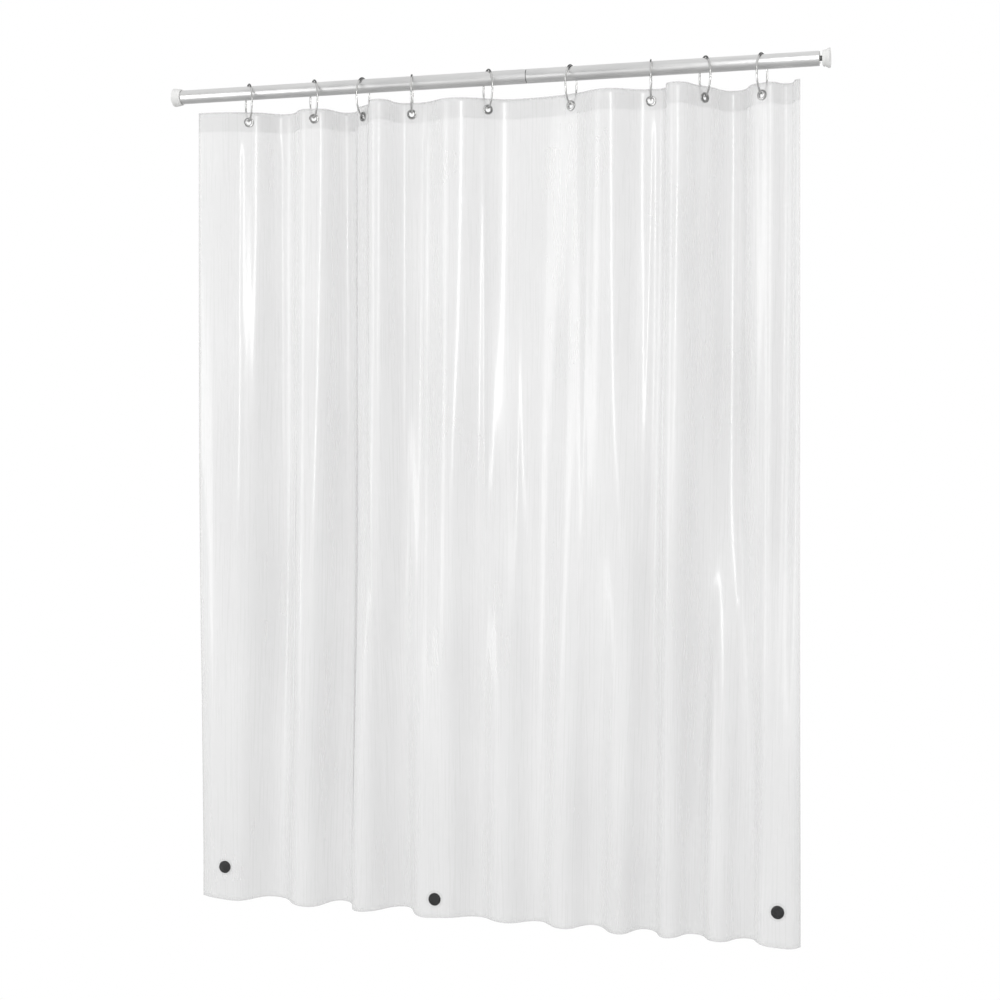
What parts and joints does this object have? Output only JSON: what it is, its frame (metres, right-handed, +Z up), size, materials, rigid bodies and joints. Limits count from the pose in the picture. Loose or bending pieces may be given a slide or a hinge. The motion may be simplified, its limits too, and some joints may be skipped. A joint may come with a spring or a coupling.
{
  "type": "shower curtain",
  "caption": "Frosted clear film curtain with a double header, metal eyelets and disc magnets at its foot, hung by oval wire rings on a round two-part rod clamped between walls.",
  "frame": {"origin": "centre of the left foot's wall face, on the rod's axis", "axes": "+X along the rod to the right wall, +Y towards the bather, +Z up"},
  "size_m": [1.524, 0.1413, 1.8959],
  "materials": {
    "film": "frosted clear, soft gloss",
    "band_film": "frosted clear, welded second layer",
    "pocket_film": "clear",
    "ring_metal": "polished",
    "eyelet_metal": "polished",
    "rod_metal": "satin",
    "inner_steel": "plain",
    "plug_plastic": "matte",
    "foot_rubber": "matte",
    "magnet": "black coated"
  },
  "bodies": {
    "rod": {"rod_tube_left": "rod_metal", "rod_tube_right": "rod_metal", "rod_joint_sleeve": "inner_steel", "rod_plug_left": "plug_plastic", "rod_plug_right": "plug_plastic", "rod_foot_left": "foot_rubber"},
    "rod_jack": {"rod_jack_spindle": "inner_steel", "rod_foot_right": "foot_rubber"},
    "curtain": {"ring_1": "ring_metal", "eyelet_1": "eyelet_metal", "eyelet_washer_1": "eyelet_metal", "sheet_1": "film", "header_band_1": "band_film"},
    "hanger_2": {"ring_2": "ring_metal", "eyelet_2": "eyelet_metal", "eyelet_washer_2": "eyelet_metal", "sheet_2": "film", "header_band_2": "band_film"},
    "hanger_3": {"ring_3": "ring_metal", "eyelet_3": "eyelet_metal", "eyelet_washer_3": "eyelet_metal", "sheet_3": "film", "header_band_3": "band_film"},
    "hanger_4": {"ring_4": "ring_metal", "eyelet_4": "eyelet_metal", "eyelet_washer_4": "eyelet_metal", "sheet_4": "film", "header_band_4": "band_film"},
    "hanger_5": {"ring_5": "ring_metal", "eyelet_5": "eyelet_metal", "eyelet_washer_5": "eyelet_metal", "sheet_5": "film", "header_band_5": "band_film"},
    "hanger_6": {"ring_6": "ring_metal", "eyelet_6": "eyelet_metal", "eyelet_washer_6": "eyelet_metal", "sheet_6": "film", "header_band_6": "band_film"},
    "hanger_7": {"ring_7": "ring_metal", "eyelet_7": "eyelet_metal", "eyelet_washer_7": "eyelet_metal", "sheet_7": "film", "header_band_7": "band_film"},
    "hanger_8": {"ring_8": "ring_metal", "eyelet_8": "eyelet_metal", "eyelet_washer_8": "eyelet_metal", "sheet_8": "film", "header_band_8": "band_film"},
    "hanger_9": {"ring_9": "ring_metal", "eyelet_9": "eyelet_metal", "eyelet_washer_9": "eyelet_metal", "sheet_9": "film", "header_band_9": "band_film"},
    "left_magnet": {"magnet_left": "magnet", "magnet_pocket_left": "pocket_film"},
    "middle_magnet": {"magnet_middle": "magnet", "magnet_pocket_middle": "pocket_film"},
    "right_magnet": {"magnet_right": "magnet", "magnet_pocket_right": "pocket_film"}
  },
  "joints": [
    {"name": "rod_jack", "type": "slide", "parent": "rod", "child": "rod_jack", "axis": [1, 0, 0], "range_m": [-0.005, 0.02]},
    {"name": "curtain_swing", "type": "hinge", "parent": "rod", "child": "curtain", "pos_m": [0.1906, 0, 0], "axis": [1, 0, 0], "range_deg": [-20, 20]},
    {"name": "curtain_draw", "type": "slide", "parent": "curtain", "child": "hanger_9", "axis": [-1, 0, 0], "range_m": [0, 0.71388], "deforming": ["sheet_1", "header_band_1", "sheet_2", "header_band_2", "sheet_3", "header_band_3", "sheet_4", "header_band_4", "sheet_5", "header_band_5", "sheet_6", "header_band_6", "sheet_7", "header_band_7", "sheet_8", "header_band_8", "sheet_9", "header_band_9"]},
    {"name": "ring_2_slide", "type": "slide", "parent": "curtain", "child": "hanger_2", "axis": [-1, 0, 0], "range_m": [0, 0.09775]},
    {"name": "ring_3_slide", "type": "slide", "parent": "curtain", "child": "hanger_3", "axis": [-1, 0, 0], "range_m": [0, 0.16993]},
    {"name": "ring_4_slide", "type": "slide", "parent": "curtain", "child": "hanger_4", "axis": [-1, 0, 0], "range_m": [0, 0.24085]},
    {"name": "ring_5_slide", "type": "slide", "parent": "curtain", "child": "hanger_5", "axis": [-1, 0, 0], "range_m": [0, 0.34849]},
    {"name": "ring_6_slide", "type": "slide", "parent": "curtain", "child": "hanger_6", "axis": [-1, 0, 0], "range_m": [0, 0.46279]},
    {"name": "ring_7_slide", "type": "slide", "parent": "curtain", "child": "hanger_7", "axis": [-1, 0, 0], "range_m": [0, 0.56995]},
    {"name": "ring_8_slide", "type": "slide", "parent": "curtain", "child": "hanger_8", "axis": [-1, 0, 0], "range_m": [0, 0.64063]},
    {"name": "left_magnet_slide", "type": "slide", "parent": "curtain", "child": "left_magnet", "axis": [1, 0, 0], "range_m": [0, 0.03056]},
    {"name": "middle_magnet_slide", "type": "slide", "parent": "curtain", "child": "middle_magnet", "axis": [-1, 0, 0], "range_m": [0, 0.278]},
    {"name": "right_magnet_slide", "type": "slide", "parent": "curtain", "child": "right_magnet", "axis": [-1, 0, 0], "range_m": [0, 0.73637]}
  ],
  "couplings": [
    {"joint": "ring_2_slide", "follows": "curtain_draw", "ratio": 0.13691},
    {"joint": "ring_3_slide", "follows": "curtain_draw", "ratio": 0.23802},
    {"joint": "ring_4_slide", "follows": "curtain_draw", "ratio": 0.33737},
    {"joint": "ring_5_slide", "follows": "curtain_draw", "ratio": 0.48815},
    {"joint": "ring_6_slide", "follows": "curtain_draw", "ratio": 0.64826},
    {"joint": "ring_7_slide", "follows": "curtain_draw", "ratio": 0.79837},
    {"joint": "ring_8_slide", "follows": "curtain_draw", "ratio": 0.89738},
    {"joint": "left_magnet_slide", "follows": "curtain_draw", "ratio": 0.042792},
    {"joint": "middle_magnet_slide", "follows": "curtain_draw", "ratio": 0.3894},
    {"joint": "right_magnet_slide", "follows": "curtain_draw", "ratio": 1.0315}
  ]
}
